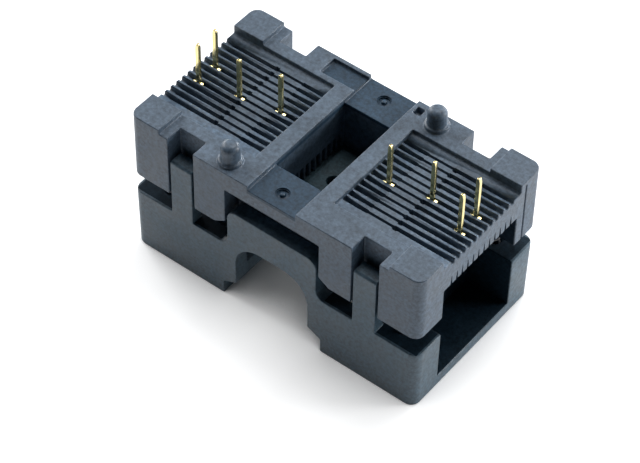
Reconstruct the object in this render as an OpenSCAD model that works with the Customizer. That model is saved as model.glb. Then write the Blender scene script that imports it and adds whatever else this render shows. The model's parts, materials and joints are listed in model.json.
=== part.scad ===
// Open-top zero-insertion-force test socket for a narrow-pitch gull-wing package.
// It is drawn with its operating cover down and its board side up, as it lies on a bench.
// X runs along the housing, Y along the contact pitch, and Z = 0 is the cover's outer face.

/* [Housing] */
// Length of the housing and cover along X
body_l = 26.4; // [25.6:0.1:30]
// Width of the housing and cover along Y
body_w = 14.6; // [14.3:0.1:17]
// Radius of the housing's upright corners
corner_r = 0.8; // [0.6:0.1:1.8]
// Height of the end blocks, from their lower edge to the board side
block_h = 5.7; // [5.5:0.1:7]
// Distance from the middle to the facing walls of the two end blocks
block_gap = 4.3; // [4.2:0.1:4.5]
// Side of the bevel under each block's facing wall
block_bevel = 0.6; // [0.55:0.05:0.8]
// Thickness of the plate that ties the blocks together
plate_t = 1.43; // [1.2:0.05:1.5]
// Depth of the cross channel in the board side
channel_d = 0.37; // [0.2:0.01:0.5]
// Width along X of the package well and its channel
well_l = 4.34; // [4.1:0.02:4.4]
// Length along Y of the package well
well_w = 8; // [7.8:0.1:8.2]
// Depth of the housing's core below the board side
core_h = 4.8; // [4.6:0.1:5]
// Gap between the housing's core and the cover's long walls
core_gap = 0.25; // [0.2:0.05:0.4]
// Height of the cavity under the ribs
cavity_h = 2.9; // [2.85:0.05:3]
// Width along Y of the cavity and of the windows in both ends
cavity_w = 8.8; // [8.4:0.1:9.2]

/* [Rib field] */
// Distance between contact slots
pitch = 0.65; // [0.6:0.01:0.68]
// Number of contact slots in each block
slots = 12; // [8:2:12]
// Width of the contact slots
slot_w = 0.36; // [0.33:0.01:0.4]
// Width of each slot's mouth between the inner two rows of tails
mouth_w = 0.24; // [0.16:0.02:0.3]
// Depth of that narrow mouth below the rib field
mouth_d = 0.6; // [0.3:0.1:0.7]
// Length of the notch where a slot widens again
notch_l = 0.35; // [0.2:0.05:0.5]
// Extra width of that notch on one side
notch_side = 0.08; // [0.04:0.01:0.1]
// Depth of the rib field below the board side
field_d = 0.35; // [0.2:0.05:0.5]
// Width along Y of the rib field
field_w = 9.3; // [8.8:0.1:9.4]
// Distance from the middle to the inner ends of the slots
slot_start = 3.6; // [3.4:0.1:4]
// Thickness of the beam across each end window
end_beam_t = 0.6; // [0.4:0.1:0.7]
// Depth of the notches where the slots run out over the beam
notch_lip = 0.3; // [0.1:0.05:0.5]
// Height of the comb slits in the beam's lower edge
comb_h = 0.9; // [0.3:0.1:1.2]
// Width of the groove beside one corner post of each end face
seam_w = 0.14; // [0.1:0.02:0.2]
// Depth of that groove
seam_d = 0.35; // [0.1:0.05:0.5]

/* [Board side] */
// Length along X of each corner pad
pad_l = 2.8; // [2:0.1:3]
// Height of the corner pads above the blocks
pad_h = 0.4; // [0.2:0.1:0.6]
// Diameter of the two locating pegs
peg_d = 1.5; // [1:0.1:1.6]
// Height of the locating pegs above the blocks
peg_h = 1.75; // [1.4:0.05:2.2]
// Radial width of the collar round each peg
peg_collar = 0.2; // [0.1:0.05:0.25]
// Distance of the pegs from the middle along X
peg_x = 4.7; // [4.4:0.1:5]
// Distance of the pegs from the middle along Y
peg_y = 6.05; // [5.9:0.05:6.1]

/* [Cover] */
// Height of the cover's walls
cover_h = 5.7; // [5.4:0.1:6]
// Distance that the cover can be pressed
travel = 1.7; // [1.2:0.1:1.7]
// Room left between cover and blocks when the cover is pressed home
end_play = 0.1; // [0.05:0.05:0.2]
// Thickness of the cover's long walls
wall_t = 1.35; // [1.2:0.05:1.4]
// Thickness of the cover's outer plate
sill_t = 1; // [0.8:0.1:1.2]
// Distance by which the cover's walls lean in towards its outer face
cover_draft = 0.05; // [0.05:0.05:0.3]
// Radius of the cover's upright corners at their inner end
cover_corner_r = 0.8; // [0.5:0.1:1.2]
// Radius of the cover's upright corners at its outer face
cover_foot_r = 0.8; // [0.3:0.1:0.8]
// Width between the walls that guide the package in
guide_w = 6.7; // [6.5:0.1:6.8]
// Thickness of the guide walls
guide_t = 0.85; // [0.7:0.05:0.9]
// Height of the guide walls
guide_h = 3.2; // [2.6:0.1:3.3]
// Height of the arch in each long wall
arch_h = 6.5; // [6:0.1:6.8]
// Radius of the arch's shoulders
arch_r = 2.3; // [1.5:0.1:2.6]
// Height of the bridges over the arches
bridge_h = 9.5; // [9:0.1:9.6]
// Radius of the bridges' outer shoulders
bridge_r = 0.9; // [0.5:0.1:1.2]
// Gap between each bridge and the facing walls of the blocks
bridge_gap = 0.2; // [0.15:0.05:0.3]
// Width that the arch gains at the outer face
flare = 1.2; // [0.8:0.1:1.2]
// Height of the flare's upright step
flare_h = 1.3; // [1:0.1:1.4]

/* [Latch legs] */
// Distance of the legs from the middle along X
leg_x = 8.4; // [8:0.1:8.5]
// Width of each leg
leg_w = 2; // [1.6:0.1:2.2]
// Thickness of each leg
leg_t = 1.05; // [0.9:0.05:1.1]
// Height of the legs above the cover's walls
leg_h = 5.35; // [5:0.05:5.6]
// Reach of the hook on each leg
hook_d = 0.3; // [0.2:0.05:0.3]
// Height of the hooks
hook_h = 0.85; // [0.6:0.05:1]
// Gap round each leg in its notch
leg_gap = 0.2; // [0.15:0.05:0.25]
// Gap between a hook and its ledge
hook_gap = 0.05; // [0.03:0.01:0.1]

/* [Package seat] */
// Width along X of the seat's pedestal
pedestal_l = 3; // [2:0.1:3.4]
// Length along Y of the seat's pedestal
pedestal_w = 6.2; // [5:0.1:6.6]
// Height of the pedestal above the seat plate
pedestal_h = 0.8; // [0.4:0.1:1.2]
// Thickness of the seat plate
seat_t = 1; // [0.8:0.1:1.2]
// Diameter of the hole through the seat
seat_hole_d = 1.05; // [0.8:0.05:1.5]
// Height of the ledges under the package leads
ledge_h = 0.45; // [0.3:0.05:0.5]
// Diameter of the seat's fixing pins
seat_pin_d = 0.9; // [0.6:0.05:1]
// Length of the seat's fixing pins
seat_pin_l = 1.2; // [0.8:0.1:1.4]

/* [Contacts] */
// Thickness of the contact blades
blade_t = 0.28; // [0.2:0.01:0.29]
// Width of the solder tails
tail_w = 0.34; // [0.28:0.01:0.5]
// Height of the solder tails above the blocks
tail_h = 3.4; // [2.5:0.1:4.5]
// Distance from the middle to the inner row of tails
row_start = 5.2; // [5:0.1:5.3]
// Distance of the outer row of tails from the housing's end
row_inset = 1.3; // [1.2:0.05:2]
// Width of the shoulders at the foot of each tail
shoulder_w = 0.9; // [0.7:0.05:1]
// Distance of the shoulders below the rib field
shoulder_drop = 0.1; // [0.05:0.05:0.3]
// Height of a contact's fixed bar
bar_h = 0.5; // [0.4:0.05:0.6]
// Width of the spring beams
beam_w = 0.36; // [0.3:0.02:0.4]

/* [Springs] */
// Outer diameter of the return springs
spring_d = 1; // [0.9:0.05:1.1]
// Diameter of the spring wire
wire_d = 0.18; // [0.14:0.02:0.22]
// Number of turns
turns = 9; // [6:1:10]
// Distance of the springs from the housing's ends
spring_inset_x = 2.4; // [1.9:0.1:2.6]
// Distance of the springs from the housing's sides
spring_inset_y = 1.75; // [1.6:0.05:1.8]

/* [Hidden] */
$fn = 48;
eps = 0.01;
bridge_half = block_gap - bridge_gap;

block_bottom = cover_h + travel + end_play;
block_top = block_bottom + block_h;
channel_z = block_top - channel_d;
plate_bottom = channel_z - plate_t;
core_bottom = block_top - core_h;
core_wall = 0.6;
core_x = block_gap + core_wall;
core_y = body_w / 2 - wall_t - core_gap;
cavity_top = block_bottom + cavity_h;
field_z = block_top - field_d;
ledge_play = 0.15;
notch_d = leg_t + hook_d + ledge_play;
seam_inset = 0.9;
seam_y = cavity_w / 2 + seam_inset;
well_comb_h = 1.4;
notch_w = leg_w + 2 * leg_gap;

cover_band_h = 0.5;

spring_x = body_l / 2 - spring_inset_x;
spring_y = body_w / 2 - spring_inset_y;
pocket_d = spring_d + 0.2;
pocket_end = 1.2;
spring_low = 3;
spring_play = 0.05;

seat_l = guide_w - 0.4;
seat_w = 2 * (core_y - 0.1);
seat_pin_y = (well_w / 2 + core_y) / 2;
ledge_z = core_bottom - seat_t - ledge_h;

// The spring bend of every contact, where its arm turns.
bend_x = 5.9;
bend_z = block_top - 3.3;
hub_r = 0.35;
hub_gap = 0.05;
loop_r = 0.85;
loop_x = bend_x + hub_r + hub_gap;
bar_z = bend_z + 2 * loop_r - bar_h / 2;
row_pitch = (body_l / 2 - row_inset - row_start) / 2;
tip_x = 2.8;
lever_low = 1;
lever_top = 0.97;
lever_reach = 0.25;
cam_x = 9;
cam_t = 0.7;
cam_drop = 1.24;
cam_top = bend_z - cam_drop;

// The narrow mouth of the slots lies between the shoulders of the inner two rows of tails.
mouth_start = row_start + shoulder_w / 2 + 0.1;
mouth_end = row_start + row_pitch - shoulder_w / 2 - 0.05;
mouth_z = field_z - mouth_d;

// Each contact's row of tails and its slot, for one block; the other block is the same, turned round.
CONTACTS = [[0, 5], [1, 6], [2, 7], [2, 4]];

function slot_y(i) = (i - (slots - 1) / 2) * pitch;
function arc(c, r, a0, a1, n) = [for (k = [0:n]) let (a = a0 + (a1 - a0) * k / n) c + r * [cos(a), sin(a)]];
function along(p, i) = let (d = p[min(i + 1, len(p) - 1)] - p[max(i - 1, 0)]) [-d[1], d[0]] / norm(d);

// Outline of a strip of width w along the points p.
function strip(p, w) = concat(
  [for (i = [0:len(p) - 1]) p[i] + along(p, i) * w / 2],
  [for (i = [len(p) - 1:-1:0]) p[i] - along(p, i) * w / 2]
);

module round_rect(l, w, r) {
  square([l - 2 * r, w], center = true);
  square([l, w - 2 * r], center = true);
  for (sx = [-1, 1], sy = [-1, 1])
    translate([sx * (l / 2 - r), sy * (w / 2 - r)]) circle(r);
}

// Box from its two corners.
module box(low, high) {
  translate(low) cube(high - low);
}

// Each child outline, drawn in X and Z, as a wall from y0 to y1.
module wall_xz(y0, y1) {
  for (i = [0:$children - 1])
    translate([0, y1, 0]) rotate([90, 0, 0]) linear_extrude(y1 - y0) children(i);
}

// The same thing at both ends, turned round the middle.
module both_ends() {
  for (a = [0, 180]) rotate([0, 0, a]) children();
}

// The same thing at all four corners, mirrored.
module four_corners() {
  for (sx = [0, 1], sy = [0, 1]) mirror([sx, 0, 0]) mirror([0, sy, 0]) children();
}

// Slots side by side at the contact pitch, w wide, between two places along X and two heights.
module slot_row(x0, x1, z0, z1, w) {
  for (i = [0:slots - 1])
    box([x0, slot_y(i) - w / 2, z0], [x1, slot_y(i) + w / 2, z1]);
}

module end_slots() {
  beam_x = body_l / 2 - end_beam_t;
  slot_row(slot_start, mouth_start, cavity_top - eps, block_top, slot_w);
  slot_row(slot_start, beam_x, cavity_top - eps, mouth_z, slot_w);
  slot_row(slot_start, beam_x, mouth_z - eps, block_top, mouth_w);
  slot_row(mouth_end, beam_x, mouth_z - eps, block_top, slot_w);
  slot_row(beam_x - eps, body_l / 2 + 1, field_z - notch_lip, block_top, slot_w);
  translate([0, -notch_side, 0]) slot_row(mouth_end, mouth_end + notch_l, mouth_z - eps, block_top, slot_w);
  slot_row(well_l / 2 - eps, core_x + eps, core_bottom - eps, core_bottom + well_comb_h, slot_w);
}

// Tapered slits in the lower edge of the beam across an end window.
module comb_slits() {
  root = slot_w / 3;
  for (i = [0:slots - 1])
    translate([body_l / 2 - end_beam_t - eps, slot_y(i), cavity_top]) rotate([90, 0, 90])
      linear_extrude(end_beam_t + 1) polygon([[-root, -eps], [root, -eps], [root / 4, comb_h], [-root / 4, comb_h]]);
}

module locating_peg() {
  dome = 0.5;
  rotate_extrude()
    polygon(concat(
      [[0, -0.2], [peg_d / 2 + peg_collar, -0.2], [peg_d / 2 + peg_collar, 0.25], [peg_d / 2, 0.3]],
      [for (k = [0:5]) [peg_d / 2 - dome + dome * cos(k * 18), peg_h - dome + dome * sin(k * 18)]],
      [[0, peg_h]]
    ));
}

module leg_notch() {
  ledge_top = cover_h + leg_h - hook_h - hook_gap;
  box([leg_x - notch_w / 2, body_w / 2 - notch_d, ledge_top], [leg_x + notch_w / 2, body_w, block_top + 1]);
  box([leg_x - notch_w / 2, body_w / 2 - leg_t - leg_gap, 0], [leg_x + notch_w / 2, body_w, block_top + 1]);
}

module moulding_mark() {
  translate([0, (core_y + body_w / 2) / 2 - 0.55, channel_z - 0.1])
    difference() {
      cylinder(d = 1.15, h = 1);
      translate([0, 0, -1]) cylinder(d = 0.6, h = 1.08);
    }
}

module base_housing() {
  color([0.23, 0.25, 0.28])
  union() {
    difference() {
      translate([0, 0, block_bottom]) linear_extrude(block_h) round_rect(body_l, body_w, corner_r);
      // Cross channel, and the well through it.
      box([-well_l / 2, -body_w, channel_z], [well_l / 2, body_w, block_top + 1]);
      box([-well_l / 2, -well_w / 2, 0], [well_l / 2, well_w / 2, block_top + 1]);
      // Room under the core for the seat.
      box([-core_x, -core_y, 0], [core_x, core_y, core_bottom]);
      // Bays for the cover's bridges, with a bevel under each facing wall.
      for (s = [-1, 1]) {
        mirror([0, s < 0 ? 1 : 0, 0]) {
          box([-block_gap, core_y, 0], [block_gap, body_w, plate_bottom]);
          wall_xz(core_y, body_w)
            polygon([
              [-block_gap - 1.6 * block_bevel, 0], [-block_gap - 1.6 * block_bevel, block_bottom],
              [-block_gap, block_bottom + block_bevel], [block_gap, block_bottom + block_bevel],
              [block_gap + 1.6 * block_bevel, block_bottom], [block_gap + 1.6 * block_bevel, 0]
            ]);
        }
      }
      both_ends() {
        box([core_x - eps, -cavity_w / 2, 0], [body_l, cavity_w / 2, cavity_top]);
        box([slot_start, -field_w / 2, field_z], [body_l, field_w / 2, block_top + 1]);
        end_slots();
        comb_slits();
        box([body_l / 2 - seam_d, seam_y - seam_w / 2, 0], [body_l, seam_y + seam_w / 2, block_top + 1]);
        moulding_mark();
        translate([0, seat_pin_y, core_bottom - eps]) cylinder(d = seat_pin_d + 0.06, h = seat_pin_l + 0.1);
      }
      four_corners() {
        leg_notch();
        translate([spring_x, spring_y, 0]) cylinder(d = pocket_d, h = block_top - pocket_end);
      }
      // Small gauge recess beside one peg, and the bare pocket for a cavity number.
      box([2.5, peg_y, block_top - 0.5], [3.15, peg_y + 0.7, block_top + 1]);
      box([-4.1, core_y - 0.5, block_top - 0.12], [-2.5, core_y + 1.2, block_top + 1]);
    }
    // Corner pads that hold the socket off the board.
    translate([0, 0, block_top - eps]) linear_extrude(pad_h + eps)
      intersection() {
        round_rect(body_l, body_w, corner_r);
        four_corners()
          translate([body_l / 2 - pad_l, field_w / 2]) square([pad_l + 1, body_w]);
      }
    both_ends() translate([peg_x, peg_y, block_top]) locating_peg();
  }
}

module package_seat() {
  color([0.3, 0.32, 0.35])
  difference() {
    union() {
      box([-seat_l / 2, -seat_w / 2, core_bottom - seat_t], [seat_l / 2, seat_w / 2, core_bottom]);
      box([-pedestal_l / 2, -pedestal_w / 2, core_bottom - eps],
          [pedestal_l / 2, pedestal_w / 2, core_bottom + pedestal_h]);
      both_ends() {
        box([seat_l / 2 - 0.8, -well_w / 2, ledge_z], [seat_l / 2, well_w / 2, core_bottom - seat_t + eps]);
        box([-1.9, well_w / 2, ledge_z - 0.5], [1.9, well_w / 2 + 0.6, core_bottom - seat_t + eps]);
        translate([0, seat_pin_y, core_bottom - eps]) cylinder(d = seat_pin_d, h = seat_pin_l + eps);
      }
    }
    translate([0, 0, ledge_z - 1]) cylinder(d = seat_hole_d, h = core_h);
  }
}

// Opening in each long wall of the cover, in X and Z.
module arch_outline() {
  half = guide_w / 2;
  top_x = half - arch_r;
  translate([-half, -1]) square([guide_w, arch_h - arch_r + 1]);
  translate([-top_x, -1]) square([2 * top_x, arch_h + 1]);
  for (s = [-1, 1]) translate([s * top_x, arch_h - arch_r]) circle(arch_r);
  polygon([
    [-half - flare, -1], [-half - flare, flare_h], [-half + eps, flare_h + 0.6],
    [half - eps, flare_h + 0.6], [half + flare, flare_h], [half + flare, -1]
  ]);
}

// Outline of a bridge above the cover's walls, with hollow fillets where it meets them.
module bridge_outline() {
  fillet = 0.8;
  translate([-bridge_half, cover_h - 1]) square([2 * bridge_half, bridge_h - bridge_r - cover_h + 1]);
  translate([-bridge_half + bridge_r, cover_h - 1]) square([2 * (bridge_half - bridge_r), bridge_h - cover_h + 1]);
  for (s = [-1, 1]) translate([s * (bridge_half - bridge_r), bridge_h - bridge_r]) circle(bridge_r);
  difference() {
    translate([-bridge_half - fillet, cover_h - 1]) square([2 * (bridge_half + fillet), fillet + 1]);
    for (s = [-1, 1]) translate([s * (bridge_half + fillet), cover_h + fillet]) circle(fillet);
  }
}

module latch_leg() {
  top = cover_h + leg_h;
  y1 = body_w / 2;
  translate([leg_x - leg_w / 2, 0, 0]) rotate([90, 0, 90]) linear_extrude(leg_w)
    polygon([
      [y1, cover_h - 0.5], [y1, top - 0.15], [y1 - 0.15, top],
      [y1 - leg_t - hook_d + 0.15, top], [y1 - leg_t - hook_d, top - 0.35],
      [y1 - leg_t - hook_d, top - hook_h], [y1 - leg_t, top - hook_h], [y1 - leg_t, cover_h - 0.5]
    ]);
}

module cover_frame() {
  cavity = cavity_w / 2;
  color([0.21, 0.23, 0.26])
  difference() {
    union() {
      hull() {
        translate([0, 0, cover_h - cover_band_h]) linear_extrude(cover_band_h)
          round_rect(body_l, body_w, cover_corner_r, $fn = 32);
        linear_extrude(cover_band_h)
          round_rect(body_l - 2 * cover_draft, body_w - 2 * cover_draft, cover_foot_r, $fn = 32);
      }
      for (s = [0, 1]) mirror([0, s, 0]) wall_xz(body_w / 2 - wall_t, body_w / 2) bridge_outline();
      four_corners() latch_leg();
    }
    wall_xz(-body_w, body_w) arch_outline();
    both_ends() {
      // Hollow of each end, its window, and the low guide wall.
      box([guide_w / 2 + guide_t, -body_w / 2 + wall_t, sill_t], [cam_x - cam_t / 2, body_w / 2 - wall_t, cover_h + 1]);
      box([cam_x + cam_t / 2, -cavity, sill_t], [body_l, cavity, cover_h + 1]);
      box([0, -body_w / 2 + wall_t, guide_h], [cam_x, body_w / 2 - wall_t, cover_h + 1]);
    }
    four_corners()
      translate([spring_x, spring_y, spring_low]) cylinder(d = pocket_d, h = cover_h);
  }
}

// Cross beam in the cover's end that lifts the contact arms.
module cam_beam() {
  y1 = cavity_w / 2 - 0.3;
  box([cam_x - cam_t / 2, -y1, sill_t - eps], [cam_x + cam_t / 2, y1, cam_top - cam_t / 2]);
  translate([cam_x, y1, cam_top - cam_t / 2]) rotate([90, 0, 0]) cylinder(d = cam_t, h = 2 * y1);
}

// Fixed half of a contact: solder tail, shoulder, bar and the upper half of the spring loop.
module contact_tail(n) {
  c = CONTACTS[(n - 1) % 4];
  x = row_start + c[0] * row_pitch;
  y = slot_y(c[1]);
  top = block_top + tail_h;
  tip_h = 0.3;
  color([0.83, 0.68, 0.3])
  rotate([0, 0, n > 4 ? 180 : 0])
    wall_xz(y - blade_t / 2, y + blade_t / 2) {
      translate([loop_x - loop_r, bar_z])
        square([max(x + shoulder_w / 2, loop_x + loop_r) - loop_x + loop_r, bar_h]);
      translate([x - shoulder_w / 2, bar_z]) square([shoulder_w, field_z - shoulder_drop - bar_z]);
      polygon([
        [x - tail_w / 2, bar_z], [x + tail_w / 2, bar_z], [x + tail_w / 2, top - tip_h],
        [x + tail_w / 4, top], [x - tail_w / 4, top], [x - tail_w / 2, top - tip_h]
      ]);
      polygon(strip(arc([loop_x, bend_z + loop_r], loop_r, 90, -90, 14), beam_w));
    }
}

// Moving half of a contact: the tip that holds the package lead, and the lever that the cover lifts.
module contact_arm(n) {
  c = CONTACTS[(n - 1) % 4];
  y = slot_y(c[1]);
  tip_r = 0.22;
  tip = [tip_x, ledge_z - tip_r - 0.06];
  lever = [cam_x + lever_reach, bend_z - lever_low];
  color([0.83, 0.68, 0.3])
  rotate([0, 0, n > 4 ? 180 : 0])
    wall_xz(y - blade_t / 2, y + blade_t / 2) {
      translate([bend_x, bend_z]) circle(hub_r);
      polygon(strip([
        [bend_x, bend_z], [bend_x - 0.7, bend_z - 0.95], [bend_x - 1.35, bend_z - 2],
        [bend_x - 2.05, bend_z - 2.95], [bend_x - 2.6, tip[1] - 0.2], tip
      ], beam_w));
      translate(tip) circle(tip_r);
      polygon(strip([
        [bend_x, bend_z], [bend_x + 0.12, bend_z - 0.55], [bend_x + 0.55, bend_z - lever_top],
        [bend_x + 1.3, bend_z - lever_top], lever
      ], beam_w));
      translate(lever) circle(beam_w / 2);
    }
}

// Closed tube along a helix.
module return_spring(n) {
  sides = 6;
  steps = 12;
  rings = turns * steps;
  coil_r = (spring_d - wire_d) / 2;
  z0 = spring_low + spring_play + wire_d / 2;
  z1 = block_top - pocket_end - spring_play - wire_d / 2;
  points = [
    for (i = [0:rings], j = [0:sides - 1])
      let (a = i * 360 / steps, b = j * 360 / sides, r = coil_r + wire_d / 2 * cos(b))
        [r * cos(a), r * sin(a), z0 + (z1 - z0) * i / rings + wire_d / 2 * sin(b)]
  ];
  skin = [
    for (i = [0:rings - 1], j = [0:sides - 1])
      let (k = (j + 1) % sides)
        [i * sides + j, (i + 1) * sides + j, (i + 1) * sides + k, i * sides + k]
  ];
  caps = [[for (j = [0:sides - 1]) j], [for (j = [sides - 1:-1:0]) rings * sides + j]];
  sx = n % 2 == 1 ? -1 : 1;
  sy = n <= 2 ? -1 : 1;
  color([0.6, 0.61, 0.62])
  translate([sx * spring_x, sy * spring_y, 0]) polyhedron(points, concat(skin, caps));
}

base_housing();
package_seat();
union() {
  cover_frame();
  both_ends() cam_beam();
}
contact_tail(1);  // contact_tail_1
contact_tail(2);  // contact_tail_2
contact_tail(3);  // contact_tail_3
contact_tail(4);  // contact_tail_4
contact_tail(5);  // contact_tail_5
contact_tail(6);  // contact_tail_6
contact_tail(7);  // contact_tail_7
contact_tail(8);  // contact_tail_8
contact_arm(1);  // contact_arm_1
contact_arm(2);  // contact_arm_2
contact_arm(3);  // contact_arm_3
contact_arm(4);  // contact_arm_4
contact_arm(5);  // contact_arm_5
contact_arm(6);  // contact_arm_6
contact_arm(7);  // contact_arm_7
contact_arm(8);  // contact_arm_8
return_spring(1);  // return_spring_1
return_spring(2);  // return_spring_2
return_spring(3);  // return_spring_3
return_spring(4);  // return_spring_4
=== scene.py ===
"""Looks of an open-top test socket that lies on its cover with its board side up."""
import json
import math

import bmesh
import bpy
from mathutils import Matrix, Vector

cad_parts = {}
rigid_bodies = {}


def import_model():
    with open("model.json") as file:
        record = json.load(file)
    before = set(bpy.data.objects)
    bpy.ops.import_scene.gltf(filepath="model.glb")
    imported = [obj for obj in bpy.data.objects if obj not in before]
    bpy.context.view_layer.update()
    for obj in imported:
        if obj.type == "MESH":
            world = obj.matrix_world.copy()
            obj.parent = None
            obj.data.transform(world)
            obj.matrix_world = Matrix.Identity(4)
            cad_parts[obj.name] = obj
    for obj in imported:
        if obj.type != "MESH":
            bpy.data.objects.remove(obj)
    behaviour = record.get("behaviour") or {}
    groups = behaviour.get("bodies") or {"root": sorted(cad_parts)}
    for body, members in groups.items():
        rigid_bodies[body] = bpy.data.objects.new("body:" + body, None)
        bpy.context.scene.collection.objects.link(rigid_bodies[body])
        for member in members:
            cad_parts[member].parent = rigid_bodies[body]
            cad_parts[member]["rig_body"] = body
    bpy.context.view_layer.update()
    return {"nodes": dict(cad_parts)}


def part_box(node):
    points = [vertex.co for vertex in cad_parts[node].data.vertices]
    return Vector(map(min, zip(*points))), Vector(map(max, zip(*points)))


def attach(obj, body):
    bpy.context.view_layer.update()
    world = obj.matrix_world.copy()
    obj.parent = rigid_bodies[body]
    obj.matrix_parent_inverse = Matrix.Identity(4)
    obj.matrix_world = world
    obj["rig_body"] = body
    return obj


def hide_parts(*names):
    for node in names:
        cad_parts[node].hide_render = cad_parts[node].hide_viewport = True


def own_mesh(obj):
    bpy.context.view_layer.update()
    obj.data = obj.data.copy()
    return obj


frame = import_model()

MM = 0.001

# Camera: where it looks, how far off it is, its three angles in degrees, and its lens.
LOOK_AT = Vector((0.675, -2.383, 6.215)) * MM
LOOK_FROM = 186.05 * MM
CAMERA_TURN = 37.223
CAMERA_TILT = 47.880
CAMERA_ROLL = 1.188
CAMERA_LENS = 142.6
SENSOR_WIDTH = 36

# Soft boxes: compass angle and height angle in degrees, side in metres, and watts.
LAMPS = {
    "left_light": (172, 30, 0.3, 2.03),
    "rear_high_light": (90, 60, 0.3, 1.54),
    "rear_low_light": (90, 10, 0.15, 1.33),
    "rear_left_light": (150, 10, 0.15, 0.63),
    "right_light": (42, 12, 0.15, 1.75),
}
LAMP_FROM = 500 * MM
WORLD_LIGHT = 0.03

# Floor: half its side, how far the painted shadow in its glow reaches from the socket, how strongly it glows,
# and its colour.
FLOOR_HALF = 1500 * MM
PAINTED_SHADOW_REACH = 14 * MM
FLOOR_GLOW = 0.62
FLOOR_PALE = (0.80, 0.81, 0.82)

# Width of the soft edge that moulding leaves, and of the edge of a stamped blade, and the steps across both.
MOULDED_EDGE = 0.08 * MM
BLADE_EDGE = 0.03 * MM
EDGE_STEPS = 2

# An edge is sharp past this angle. It has room for a soft edge where its neighbours are this many times
# as long as that edge is wide. A neighbour turns away from it where their directions' product is below this.
SHARP = math.radians(32)
ROOM = 1.6
SIDEWAYS = 0.7

# How strongly broad faces hold their shading against the soft edges beside them, of 100.
FACE_PULL = 90

# CAD triangles are joined where their corners are this close, and become one face where they are this flat.
SAME_POINT = 0.0005 * MM
FLAT = math.radians(0.1)

# Housing, in millimetres: the cross channel that runs from front to rear.
CHANNEL_Z = 12.83
CHANNEL_HALF_W = 2.2
CHANNEL_HALF_L = 7.4

# The two moulding marks on the channel's floor: a round groove with a boss in its middle, in millimetres.
MARK_Y = 5.95
MARK_OUTER_R = 0.5
MARK_BOSS_R = 0.2
MARK_DEPTH = 0.22
MARK_SIDES = 40

# The number pocket at the rear, which opens into the channel, in millimetres.
POCKET_Z = 12.9
POCKET_LEFT = -5.4
POCKET_RIGHT = -2.1
POCKET_FRONT = 5.19
POCKET_REAR = 6.91
OVER_BLOCK = 14

# Hollow behind the window in each end, in millimetres, where shade is painted: its reach along X, half its
# width, its floor and roof.
HOLLOW_IN = 8.6
HOLLOW_OUT = 13.1
HOLLOW_HALF_W = 4.42
HOLLOW_FLOOR = 0.98
HOLLOW_ROOF = 11.6

# Cover, in millimetres: the face that meets the housing when it is pressed, without its outer edge; shade is
# painted on it.
COVER_TOP = 5.7
COVER_TOP_HALF_L = 13.0
COVER_TOP_HALF_W = 7.1

# How far a tinted zone reaches past the face that it is for, in millimetres, and how far down the walls
# beside the channel's floor and the cover's top face it reaches.
SLIVER = 0.01
DOWN_CHANNEL = 0.3
DOWN_COVER = 0.05

# Coil springs: sides of the wire, steps in each turn, turns, and the wire's radius.
WIRE_SIDES = 10
TURN_STEPS = 28
SPRING_TURNS = 9
WIRE_R = 0.09 * MM

# Base colours of the moulded plastics and the metals.
HOUSING_BLUE_GREY = (0.067, 0.100, 0.142)
COVER_BLUE_GREY = (0.052, 0.092, 0.126)
SEAT_GREY = (0.018, 0.040, 0.052)
GOLD = (0.88, 0.76, 0.40)
WORN_GOLD = (0.72, 0.60, 0.27)
STEEL = (0.42, 0.42, 0.43)

# Tints for the plastic's colour, and how much shine they take off: a darker, duller tint for the channel
# floor and the number pocket, and painted shade for the hollows behind the end windows and the cover's face
# in the gap.
CHANNEL_TINT = (0.30, 0.48, 0.58)
CHANNEL_DULLING = 0.16
HOLLOW_PAINTED_SHADE = (0.16, 0.22, 0.26)
HOLLOW_SHADE_DULLING = 0.4

# Plastic: its flow marks and its speckle, as noise scales, its skin's roughness, and how deep its grain is.
FLOW_SCALE = 420
SPECKLE_SCALE = 3600
SATIN = (0.40, 0.54)
GRAIN_DEPTH = 0.02 * MM
GRAIN_STRENGTH = 0.7

# Gold: its rolling lines and its duller patches, as noise scales, how far the lines stretch, its roughness,
# and how deep the lines are.
ROLLING_SCALE = 9000
PATCH_SCALE = 900
ALONG_BLADE = (1, 1, 0.15)
POLISH = (0.12, 0.22)
ROLLING_DEPTH = 0.004 * MM
ROLLING_STRENGTH = 0.3

# Spring wire: its drawn grain, as a noise scale, and its roughness.
DRAWN_SCALE = 5000
DRAWN = (0.28, 0.42)

# The middle band of a noise, which is spread over a whole range.
NOISE_LOW = 0.3
NOISE_HIGH = 0.7


# ---- Materials ----

def new_material(name):
    """A material with its nodes and links."""
    material = bpy.data.materials.new(name)
    material.use_nodes = True
    return material, material.node_tree.nodes, material.node_tree.links


def noise(nodes, links, place, scale, detail=3.0, roughness=0.5):
    """A cloud pattern in the piece's own space."""
    texture = nodes.new("ShaderNodeTexNoise")
    texture.inputs["Scale"].default_value = scale
    texture.inputs["Detail"].default_value = detail
    texture.inputs["Roughness"].default_value = roughness
    links.new(place, texture.inputs["Vector"])
    return texture.outputs["Fac"]


def maths(nodes, links, operation, first, second):
    """One sum on two values, each a node's output or a number."""
    step = nodes.new("ShaderNodeMath")
    step.operation = operation
    for place, value in enumerate((first, second)):
        if isinstance(value, (int, float)):
            step.inputs[place].default_value = value
        else:
            links.new(value, step.inputs[place])
    return step.outputs[0]


def seen_or_reflected(nodes, links):
    """1 for what the camera sees, and for what shows in gloss or through glass."""
    path = nodes.new("ShaderNodeLightPath").outputs
    mirrored = maths(nodes, links, "MAXIMUM", path["Is Glossy Ray"], path["Is Transmission Ray"])
    return maths(nodes, links, "MAXIMUM", path["Is Camera Ray"], mirrored)


def spread(nodes, links, value, low, high):
    """A noise value turned into a range."""
    ramp = nodes.new("ShaderNodeMapRange")
    ramp.inputs["From Min"].default_value = NOISE_LOW
    ramp.inputs["From Max"].default_value = NOISE_HIGH
    ramp.inputs["To Min"].default_value = low
    ramp.inputs["To Max"].default_value = high
    links.new(value, ramp.inputs["Value"])
    return ramp.outputs["Result"]


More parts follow.
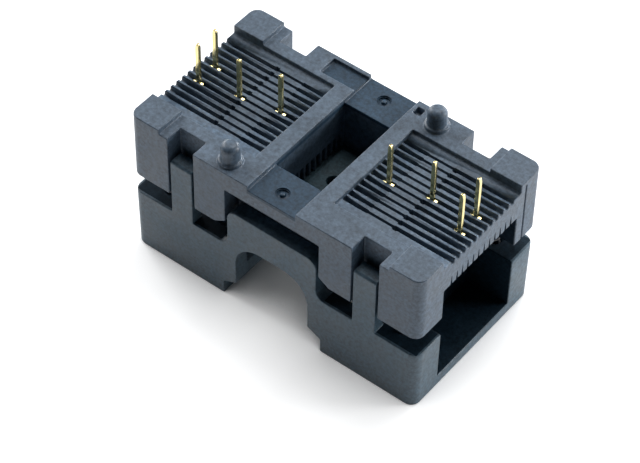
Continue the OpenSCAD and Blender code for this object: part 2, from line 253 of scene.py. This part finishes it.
def two_tones(nodes, links, value, dark, light):
    """A noise value turned into a blend of two colours."""
    ramp = nodes.new("ShaderNodeValToRGB")
    ramp.color_ramp.elements[0].position = NOISE_LOW
    ramp.color_ramp.elements[1].position = NOISE_HIGH
    ramp.color_ramp.elements[0].color = (*dark, 1)
    ramp.color_ramp.elements[1].color = (*light, 1)
    links.new(value, ramp.inputs["Fac"])
    return ramp.outputs["Color"]


def multiplied(nodes, links, first, second, amount=1):
    """One colour times another, which is a node's output or a plain colour, wholly or by a share."""
    mix = nodes.new("ShaderNodeMix")
    mix.data_type = "RGBA"
    mix.blend_type = "MULTIPLY"
    links.new(first, mix.inputs[6])
    for socket, value in (("Factor", amount), (7, second)):
        if isinstance(value, (int, tuple)):
            mix.inputs[socket].default_value = value
        else:
            links.new(value, mix.inputs[socket])
    return mix.outputs[2]


def inside_box(nodes, links, place, low, high):
    """1 inside the box between two corners, in millimetres, and 0 outside it."""
    split = nodes.new("ShaderNodeSeparateXYZ")
    links.new(place, split.inputs[0])
    inside = 1.0
    for axis in range(3):
        above = maths(nodes, links, "GREATER_THAN", split.outputs[axis], low[axis] * MM)
        below = maths(nodes, links, "LESS_THAN", split.outputs[axis], high[axis] * MM)
        inside = maths(nodes, links, "MULTIPLY", maths(nodes, links, "MULTIPLY", above, below), inside)
    return inside


def moulded_plastic(name, colour, cloud=0.16, grain=0.38, sheen=0.5, zones=()):
    """Glass-filled plastic: cloudy flow marks, a fine speckle, and a satin skin that isn't quite even.

    Each zone is a box of two corners in millimetres, a tint for its faces, and how much less they shine.
    """
    material, nodes, links = new_material(name)
    skin = nodes["Principled BSDF"]
    place = nodes.new("ShaderNodeTexCoord").outputs["Object"]
    flow = noise(nodes, links, place, FLOW_SCALE, 4, 0.6)
    speckle = noise(nodes, links, place, SPECKLE_SCALE, 2, 0.7)
    dark = [c * (1 - cloud) for c in colour]
    light = [c * (1 + cloud) for c in colour]
    clouds = two_tones(nodes, links, flow, dark, light)
    specks = two_tones(nodes, links, speckle, [1 - grain] * 3, [1 + grain] * 3)
    tone = multiplied(nodes, links, clouds, specks)
    shine = sheen
    skin.inputs["Specular IOR Level"].default_value = sheen
    # Zones tint the colour and take off shine; in the hollows and the gap this is painted shade.
    for low, high, tint, dulling in zones:
        inside = inside_box(nodes, links, place, low, high)
        tone = multiplied(nodes, links, tone, (*tint, 1), inside)
        shine = maths(nodes, links, "SUBTRACT", shine, maths(nodes, links, "MULTIPLY", inside, dulling))
        links.new(shine, skin.inputs["Specular IOR Level"])
    links.new(tone, skin.inputs["Base Color"])
    links.new(spread(nodes, links, flow, *SATIN), skin.inputs["Roughness"])
    bump = nodes.new("ShaderNodeBump")
    bump.inputs["Strength"].default_value = GRAIN_STRENGTH
    bump.inputs["Distance"].default_value = GRAIN_DEPTH
    links.new(speckle, bump.inputs["Height"])
    links.new(bump.outputs["Normal"], skin.inputs["Normal"])
    return material


def gold_plate(name):
    """Gold over stamped metal: fine rolling lines along the blade, with duller patches."""
    material, nodes, links = new_material(name)
    skin = nodes["Principled BSDF"]
    place = nodes.new("ShaderNodeTexCoord").outputs["Object"]
    stretch = nodes.new("ShaderNodeMapping")
    stretch.inputs["Scale"].default_value = ALONG_BLADE
    links.new(place, stretch.inputs["Vector"])
    lines = noise(nodes, links, stretch.outputs["Vector"], ROLLING_SCALE, 2)
    patches = noise(nodes, links, place, PATCH_SCALE, 3)
    tint = two_tones(nodes, links, patches, WORN_GOLD, GOLD)
    links.new(tint, skin.inputs["Base Color"])
    skin.inputs["Metallic"].default_value = 1
    links.new(spread(nodes, links, patches, *POLISH), skin.inputs["Roughness"])
    bump = nodes.new("ShaderNodeBump")
    bump.inputs["Strength"].default_value = ROLLING_STRENGTH
    bump.inputs["Distance"].default_value = ROLLING_DEPTH
    links.new(lines, bump.inputs["Height"])
    links.new(bump.outputs["Normal"], skin.inputs["Normal"])
    return material


def drawn_wire(name):
    """Spring wire with a faint drawn grain."""
    material, nodes, links = new_material(name)
    skin = nodes["Principled BSDF"]
    place = nodes.new("ShaderNodeTexCoord").outputs["Object"]
    grain = noise(nodes, links, place, DRAWN_SCALE, 3)
    tint = two_tones(nodes, links, grain, [c * 0.8 for c in STEEL], [c * 1.15 for c in STEEL])
    links.new(tint, skin.inputs["Base Color"])
    skin.inputs["Metallic"].default_value = 1
    links.new(spread(nodes, links, grain, *DRAWN), skin.inputs["Roughness"])
    return material


# ---- Pieces ----

def merged_mesh(node):
    """A copy of a CAD node's loose triangles, joined into one skin of flat faces."""
    source = frame["nodes"][node]
    shape = bmesh.new()
    shape.from_mesh(source.data)
    bmesh.ops.remove_doubles(shape, verts=shape.verts, dist=SAME_POINT)
    bmesh.ops.dissolve_limit(
        shape, angle_limit=FLAT, verts=shape.verts, edges=shape.edges, use_dissolve_boundaries=False
    )
    mesh = bpy.data.meshes.new(node + "_shape")
    shape.to_mesh(mesh)
    shape.free()
    return mesh


def side_edges(edge, corner):
    """The edges at one end of an edge that turn away from it."""
    along = (edge.other_vert(corner).co - corner.co).normalized()
    for other in corner.link_edges:
        if other is not edge:
            away = (other.other_vert(corner).co - corner.co).normalized()
            if abs(along.dot(away)) < SIDEWAYS:
                yield other


def mark_soft_edges(mesh, width):
    """Mark the sharp edges with room for a soft edge, and leave the others crisp."""
    shape = bmesh.new()
    shape.from_mesh(mesh)
    weight = shape.edges.layers.float.new("bevel_weight_edge")
    for edge in shape.edges:
        if len(edge.link_faces) != 2 or edge.calc_face_angle() < SHARP:
            continue
        beside = [other.calc_length() for corner in edge.verts for other in side_edges(edge, corner)]
        if min(beside, default=width) > ROOM * width:
            edge[weight] = 1
        else:
            edge.smooth = False
    shape.to_mesh(mesh)
    shape.free()


def carved(mesh, cutters):
    """The mesh with shallow moulded recesses cut into it by each cutter, a function that fills a bmesh."""
    for fill in cutters:
        shape = bmesh.new()
        fill(shape)
        tool_mesh = bpy.data.meshes.new("cutter")
        shape.to_mesh(tool_mesh)
        shape.free()
        tool = bpy.data.objects.new("cutter", tool_mesh)
        block = bpy.data.objects.new("block", mesh)
        for part in (tool, block):
            bpy.context.scene.collection.objects.link(part)
        cut = block.modifiers.new("cut", "BOOLEAN")
        cut.operation = "DIFFERENCE"
        cut.solver = "EXACT"
        cut.object = tool
        graph = bpy.context.evaluated_depsgraph_get()
        mesh = bpy.data.meshes.new_from_object(block.evaluated_get(graph))
        for part in (tool, block):
            bpy.data.objects.remove(part)
    return mesh


def pocket(low, high):
    """A cutter: the box between two corners, in millimetres."""
    def fill(shape):
        middle = (Vector(low) + Vector(high)) / 2 * MM
        size = (Vector(high) - Vector(low)) * MM
        place = Matrix.Translation(middle) @ Matrix.Diagonal((*size, 1))
        bmesh.ops.create_cube(shape, size=1, matrix=place)
    return fill


def moulding_mark(middle):
    """A cutter: a round groove about a boss, open above, with its middle in millimetres."""
    def fill(shape):
        rings = []
        corners = [(MARK_BOSS_R, -1), (MARK_OUTER_R, -1), (MARK_OUTER_R, 1), (MARK_BOSS_R, 1)]
        for radius, above in corners:
            place = Matrix.Translation((Vector(middle) + Vector((0, 0, above * MARK_DEPTH))) * MM)
            made = bmesh.ops.create_circle(shape, segments=MARK_SIDES, radius=radius * MM, matrix=place)
            rings.append([e for v in made["verts"] for e in v.link_edges if e.other_vert(v) in made["verts"]])
        for near, far in zip(rings, rings[1:] + rings[:1]):
            bmesh.ops.bridge_loops(shape, edges=list(set(near + far)))
        bmesh.ops.recalc_face_normals(shape, faces=shape.faces)
    return fill


def eased_piece(node, material, edge, cutters=()):
    """The CAD node's own shape with its sharp edges rounded off."""
    body = frame["nodes"][node]["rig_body"]
    piece = bpy.data.objects.new(node + "_dressed", carved(merged_mesh(node), cutters))
    bpy.context.scene.collection.objects.link(piece)
    piece.data.materials.clear()
    piece.data.materials.append(material)
    for face in piece.data.polygons:
        face.use_smooth = True
        face.material_index = 0
    mark_soft_edges(piece.data, edge)
    bevel = piece.modifiers.new("edge", "BEVEL")
    bevel.width = edge
    bevel.segments = EDGE_STEPS
    bevel.limit_method = "WEIGHT"
    bevel.use_clamp_overlap = False
    bevel.miter_outer = "MITER_ARC"
    even = piece.modifiers.new("even_faces", "WEIGHTED_NORMAL")
    even.mode = "FACE_AREA"
    even.weight = FACE_PULL
    even.keep_sharp = True
    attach(piece, body)
    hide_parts(node)


def coil_spring(node, material):
    """A round wire swept along a helix, in the CAD spring's place, fixed to the base."""
    low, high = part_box(node)
    middle = (low + high) / 2
    coil_r = (high.x - low.x) / 2 - WIRE_R
    rise = (high.z - low.z - 2 * WIRE_R) / SPRING_TURNS
    shape = bmesh.new()
    ring = bmesh.ops.create_circle(shape, cap_ends=False, radius=WIRE_R, segments=WIRE_SIDES)
    upright = Matrix.Rotation(math.pi / 2, 4, "X")
    start = Matrix.Translation((middle.x + coil_r, middle.y, low.z + WIRE_R))
    bmesh.ops.transform(shape, matrix=start @ upright, verts=ring["verts"])
    steps = TURN_STEPS * SPRING_TURNS
    bmesh.ops.spin(
        shape, geom=shape.edges[:] + shape.verts[:], cent=middle, axis=(0, 0, 1),
        dvec=(0, 0, rise / TURN_STEPS), angle=2 * math.pi * SPRING_TURNS, steps=steps, use_merge=False
    )
    bmesh.ops.holes_fill(shape, edges=[e for e in shape.edges if e.is_boundary], sides=WIRE_SIDES)
    bmesh.ops.recalc_face_normals(shape, faces=shape.faces)
    mesh = bpy.data.meshes.new(node + "_coil")
    shape.to_mesh(mesh)
    shape.free()
    for face in mesh.polygons:
        face.use_smooth = True
    mesh.materials.append(material)
    piece = bpy.data.objects.new(node + "_coil", mesh)
    bpy.context.scene.collection.objects.link(piece)
    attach(piece, "base")
    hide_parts(node)
    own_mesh(piece)


# ---- Stage, lights and camera ----

def white_floor():
    """A pale floor that reads as white to the camera and in reflections; it keeps the lamps' shadow of the
    socket, and its glow dims near and under the socket in a painted shadow.
    """
    shape = bmesh.new()
    bmesh.ops.create_grid(shape, x_segments=1, y_segments=1, size=FLOOR_HALF)
    mesh = bpy.data.meshes.new("floor")
    shape.to_mesh(mesh)
    shape.free()
    floor = bpy.data.objects.new("floor", mesh)
    bpy.context.scene.collection.objects.link(floor)
    material, nodes, links = new_material("pale_floor")
    skin = nodes["Principled BSDF"]
    skin.inputs["Base Color"].default_value = (*FLOOR_PALE, 1)
    skin.inputs["Roughness"].default_value = 0.8
    skin.inputs["Specular IOR Level"].default_value = 0.1
    skin.inputs["Emission Color"].default_value = (1, 1, 1, 1)
    # Painted shadow: ambient occlusion dims the floor's glow near the socket and under it.
    glow_occlusion = nodes.new("ShaderNodeAmbientOcclusion")
    glow_occlusion.inputs["Distance"].default_value = PAINTED_SHADOW_REACH
    glow_with_painted_shadow = spread(nodes, links, glow_occlusion.outputs["AO"], 0, FLOOR_GLOW)
    seen = maths(nodes, links, "MULTIPLY", glow_with_painted_shadow, seen_or_reflected(nodes, links))
    links.new(seen, skin.inputs["Emission Strength"])
    mesh.materials.append(material)


def soft_world():
    """Faint even light all round; white where the camera looks past the floor."""
    world = bpy.data.worlds.new("studio")
    bpy.context.scene.world = world
    world.use_nodes = True
    nodes = world.node_tree.nodes
    links = world.node_tree.links
    light = nodes["Background"]
    light.inputs["Color"].default_value = (0.93, 0.97, 1.0, 1)
    light.inputs["Strength"].default_value = WORLD_LIGHT
    backdrop = nodes.new("ShaderNodeBackground")
    backdrop.inputs["Color"].default_value = (1, 1, 1, 1)
    backdrop.inputs["Strength"].default_value = 1
    path = nodes.new("ShaderNodeLightPath")
    choose = nodes.new("ShaderNodeMixShader")
    links.new(path.outputs["Is Camera Ray"], choose.inputs[0])
    links.new(light.outputs[0], choose.inputs[1])
    links.new(backdrop.outputs[0], choose.inputs[2])
    links.new(choose.outputs[0], nodes["World Output"].inputs["Surface"])


def soft_box(name, turn, tilt, size, watts):
    """A square soft light, placed by its compass angle and height angle in degrees, that faces the socket."""
    lamp = bpy.data.lights.new(name, "AREA")
    lamp.size = size
    lamp.energy = watts
    holder = bpy.data.objects.new(name, lamp)
    bpy.context.scene.collection.objects.link(holder)
    t = math.radians(turn)
    e = math.radians(tilt)
    towards = Vector((math.cos(t) * math.cos(e), math.sin(t) * math.cos(e), math.sin(e)))
    holder.location = LOOK_AT + towards * LAMP_FROM
    holder.rotation_euler = towards.to_track_quat("Z", "Y").to_euler()


def camera():
    """The camera, at its angles about the point that it looks at."""
    turn = math.radians(CAMERA_TURN)
    tilt = math.radians(CAMERA_TILT)
    roll = math.radians(CAMERA_ROLL)
    ahead = Vector((-math.sin(turn) * math.cos(tilt), math.cos(turn) * math.cos(tilt), -math.sin(tilt)))
    side = Vector((math.cos(turn), math.sin(turn), 0))
    up = side.cross(ahead)
    right = side * math.cos(roll) + up * math.sin(roll)
    over = up * math.cos(roll) - side * math.sin(roll)
    lens = bpy.data.cameras.new("camera")
    lens.lens = CAMERA_LENS
    lens.sensor_width = SENSOR_WIDTH
    lens.clip_start = 0.01
    holder = bpy.data.objects.new("camera", lens)
    bpy.context.scene.collection.objects.link(holder)
    turned = Matrix((right, over, -ahead)).transposed().to_4x4()
    holder.matrix_world = Matrix.Translation(LOOK_AT - ahead * LOOK_FROM) @ turned
    bpy.context.scene.camera = holder


# ---- The socket ----

# The channel floor and the number pocket: tinted darker and duller.
channel_and_pocket_floors = [
    (
        (-CHANNEL_HALF_W, -CHANNEL_HALF_L, CHANNEL_Z - DOWN_CHANNEL),
        (CHANNEL_HALF_W, CHANNEL_HALF_L, CHANNEL_Z + SLIVER),
        CHANNEL_TINT, CHANNEL_DULLING
    ),
    (
        (POCKET_LEFT - SLIVER, POCKET_FRONT - SLIVER, POCKET_Z - SLIVER),
        (-CHANNEL_HALF_W, POCKET_REAR + SLIVER, POCKET_Z + SLIVER),
        CHANNEL_TINT, CHANNEL_DULLING
    ),
]
# Painted shade: the hollows behind the end windows are tinted dark and lose their shine.
painted_shade_in_ends = [
    (
        (left, -HOLLOW_HALF_W, HOLLOW_FLOOR),
        (right, HOLLOW_HALF_W, HOLLOW_ROOF),
        HOLLOW_PAINTED_SHADE, HOLLOW_SHADE_DULLING
    )
    for left, right in ((-HOLLOW_OUT, -HOLLOW_IN), (HOLLOW_IN, HOLLOW_OUT))
]
# Painted shade: the cover's face in the gap under the housing is tinted dark and loses its shine.
painted_shade_in_gap = (
    (-COVER_TOP_HALF_L, -COVER_TOP_HALF_W, COVER_TOP - DOWN_COVER),
    (COVER_TOP_HALF_L, COVER_TOP_HALF_W, COVER_TOP + SLIVER),
    HOLLOW_PAINTED_SHADE, HOLLOW_SHADE_DULLING
)
housing_plastic = moulded_plastic("housing_plastic", HOUSING_BLUE_GREY, zones=channel_and_pocket_floors + painted_shade_in_ends)
cover_plastic = moulded_plastic("cover_plastic", COVER_BLUE_GREY, zones=[*painted_shade_in_ends, painted_shade_in_gap])
seat_plastic = moulded_plastic("seat_plastic", SEAT_GREY, cloud=0.2, sheen=0.2)
contact_gold = gold_plate("contact_gold")
spring_steel = drawn_wire("spring_steel")

number_pocket = pocket((POCKET_LEFT, POCKET_FRONT, POCKET_Z), (POCKET_RIGHT, POCKET_REAR, OVER_BLOCK))
marks = [moulding_mark((0, side * MARK_Y, CHANNEL_Z)) for side in (-1, 1)]
eased_piece("base_housing", housing_plastic, MOULDED_EDGE, cutters=[number_pocket, *marks])
eased_piece("cover_frame", cover_plastic, MOULDED_EDGE)
eased_piece("package_seat", seat_plastic, MOULDED_EDGE)
for number in range(1, 9):
    eased_piece(f"contact_tail_{number}", contact_gold, BLADE_EDGE)
    eased_piece(f"contact_arm_{number}", contact_gold, BLADE_EDGE)
for number in range(1, 5):
    coil_spring(f"return_spring_{number}", spring_steel)

white_floor()
soft_world()
for name, settings in LAMPS.items():
    soft_box(name, *settings)
camera()

bpy.context.scene.view_settings.view_transform = "Standard"
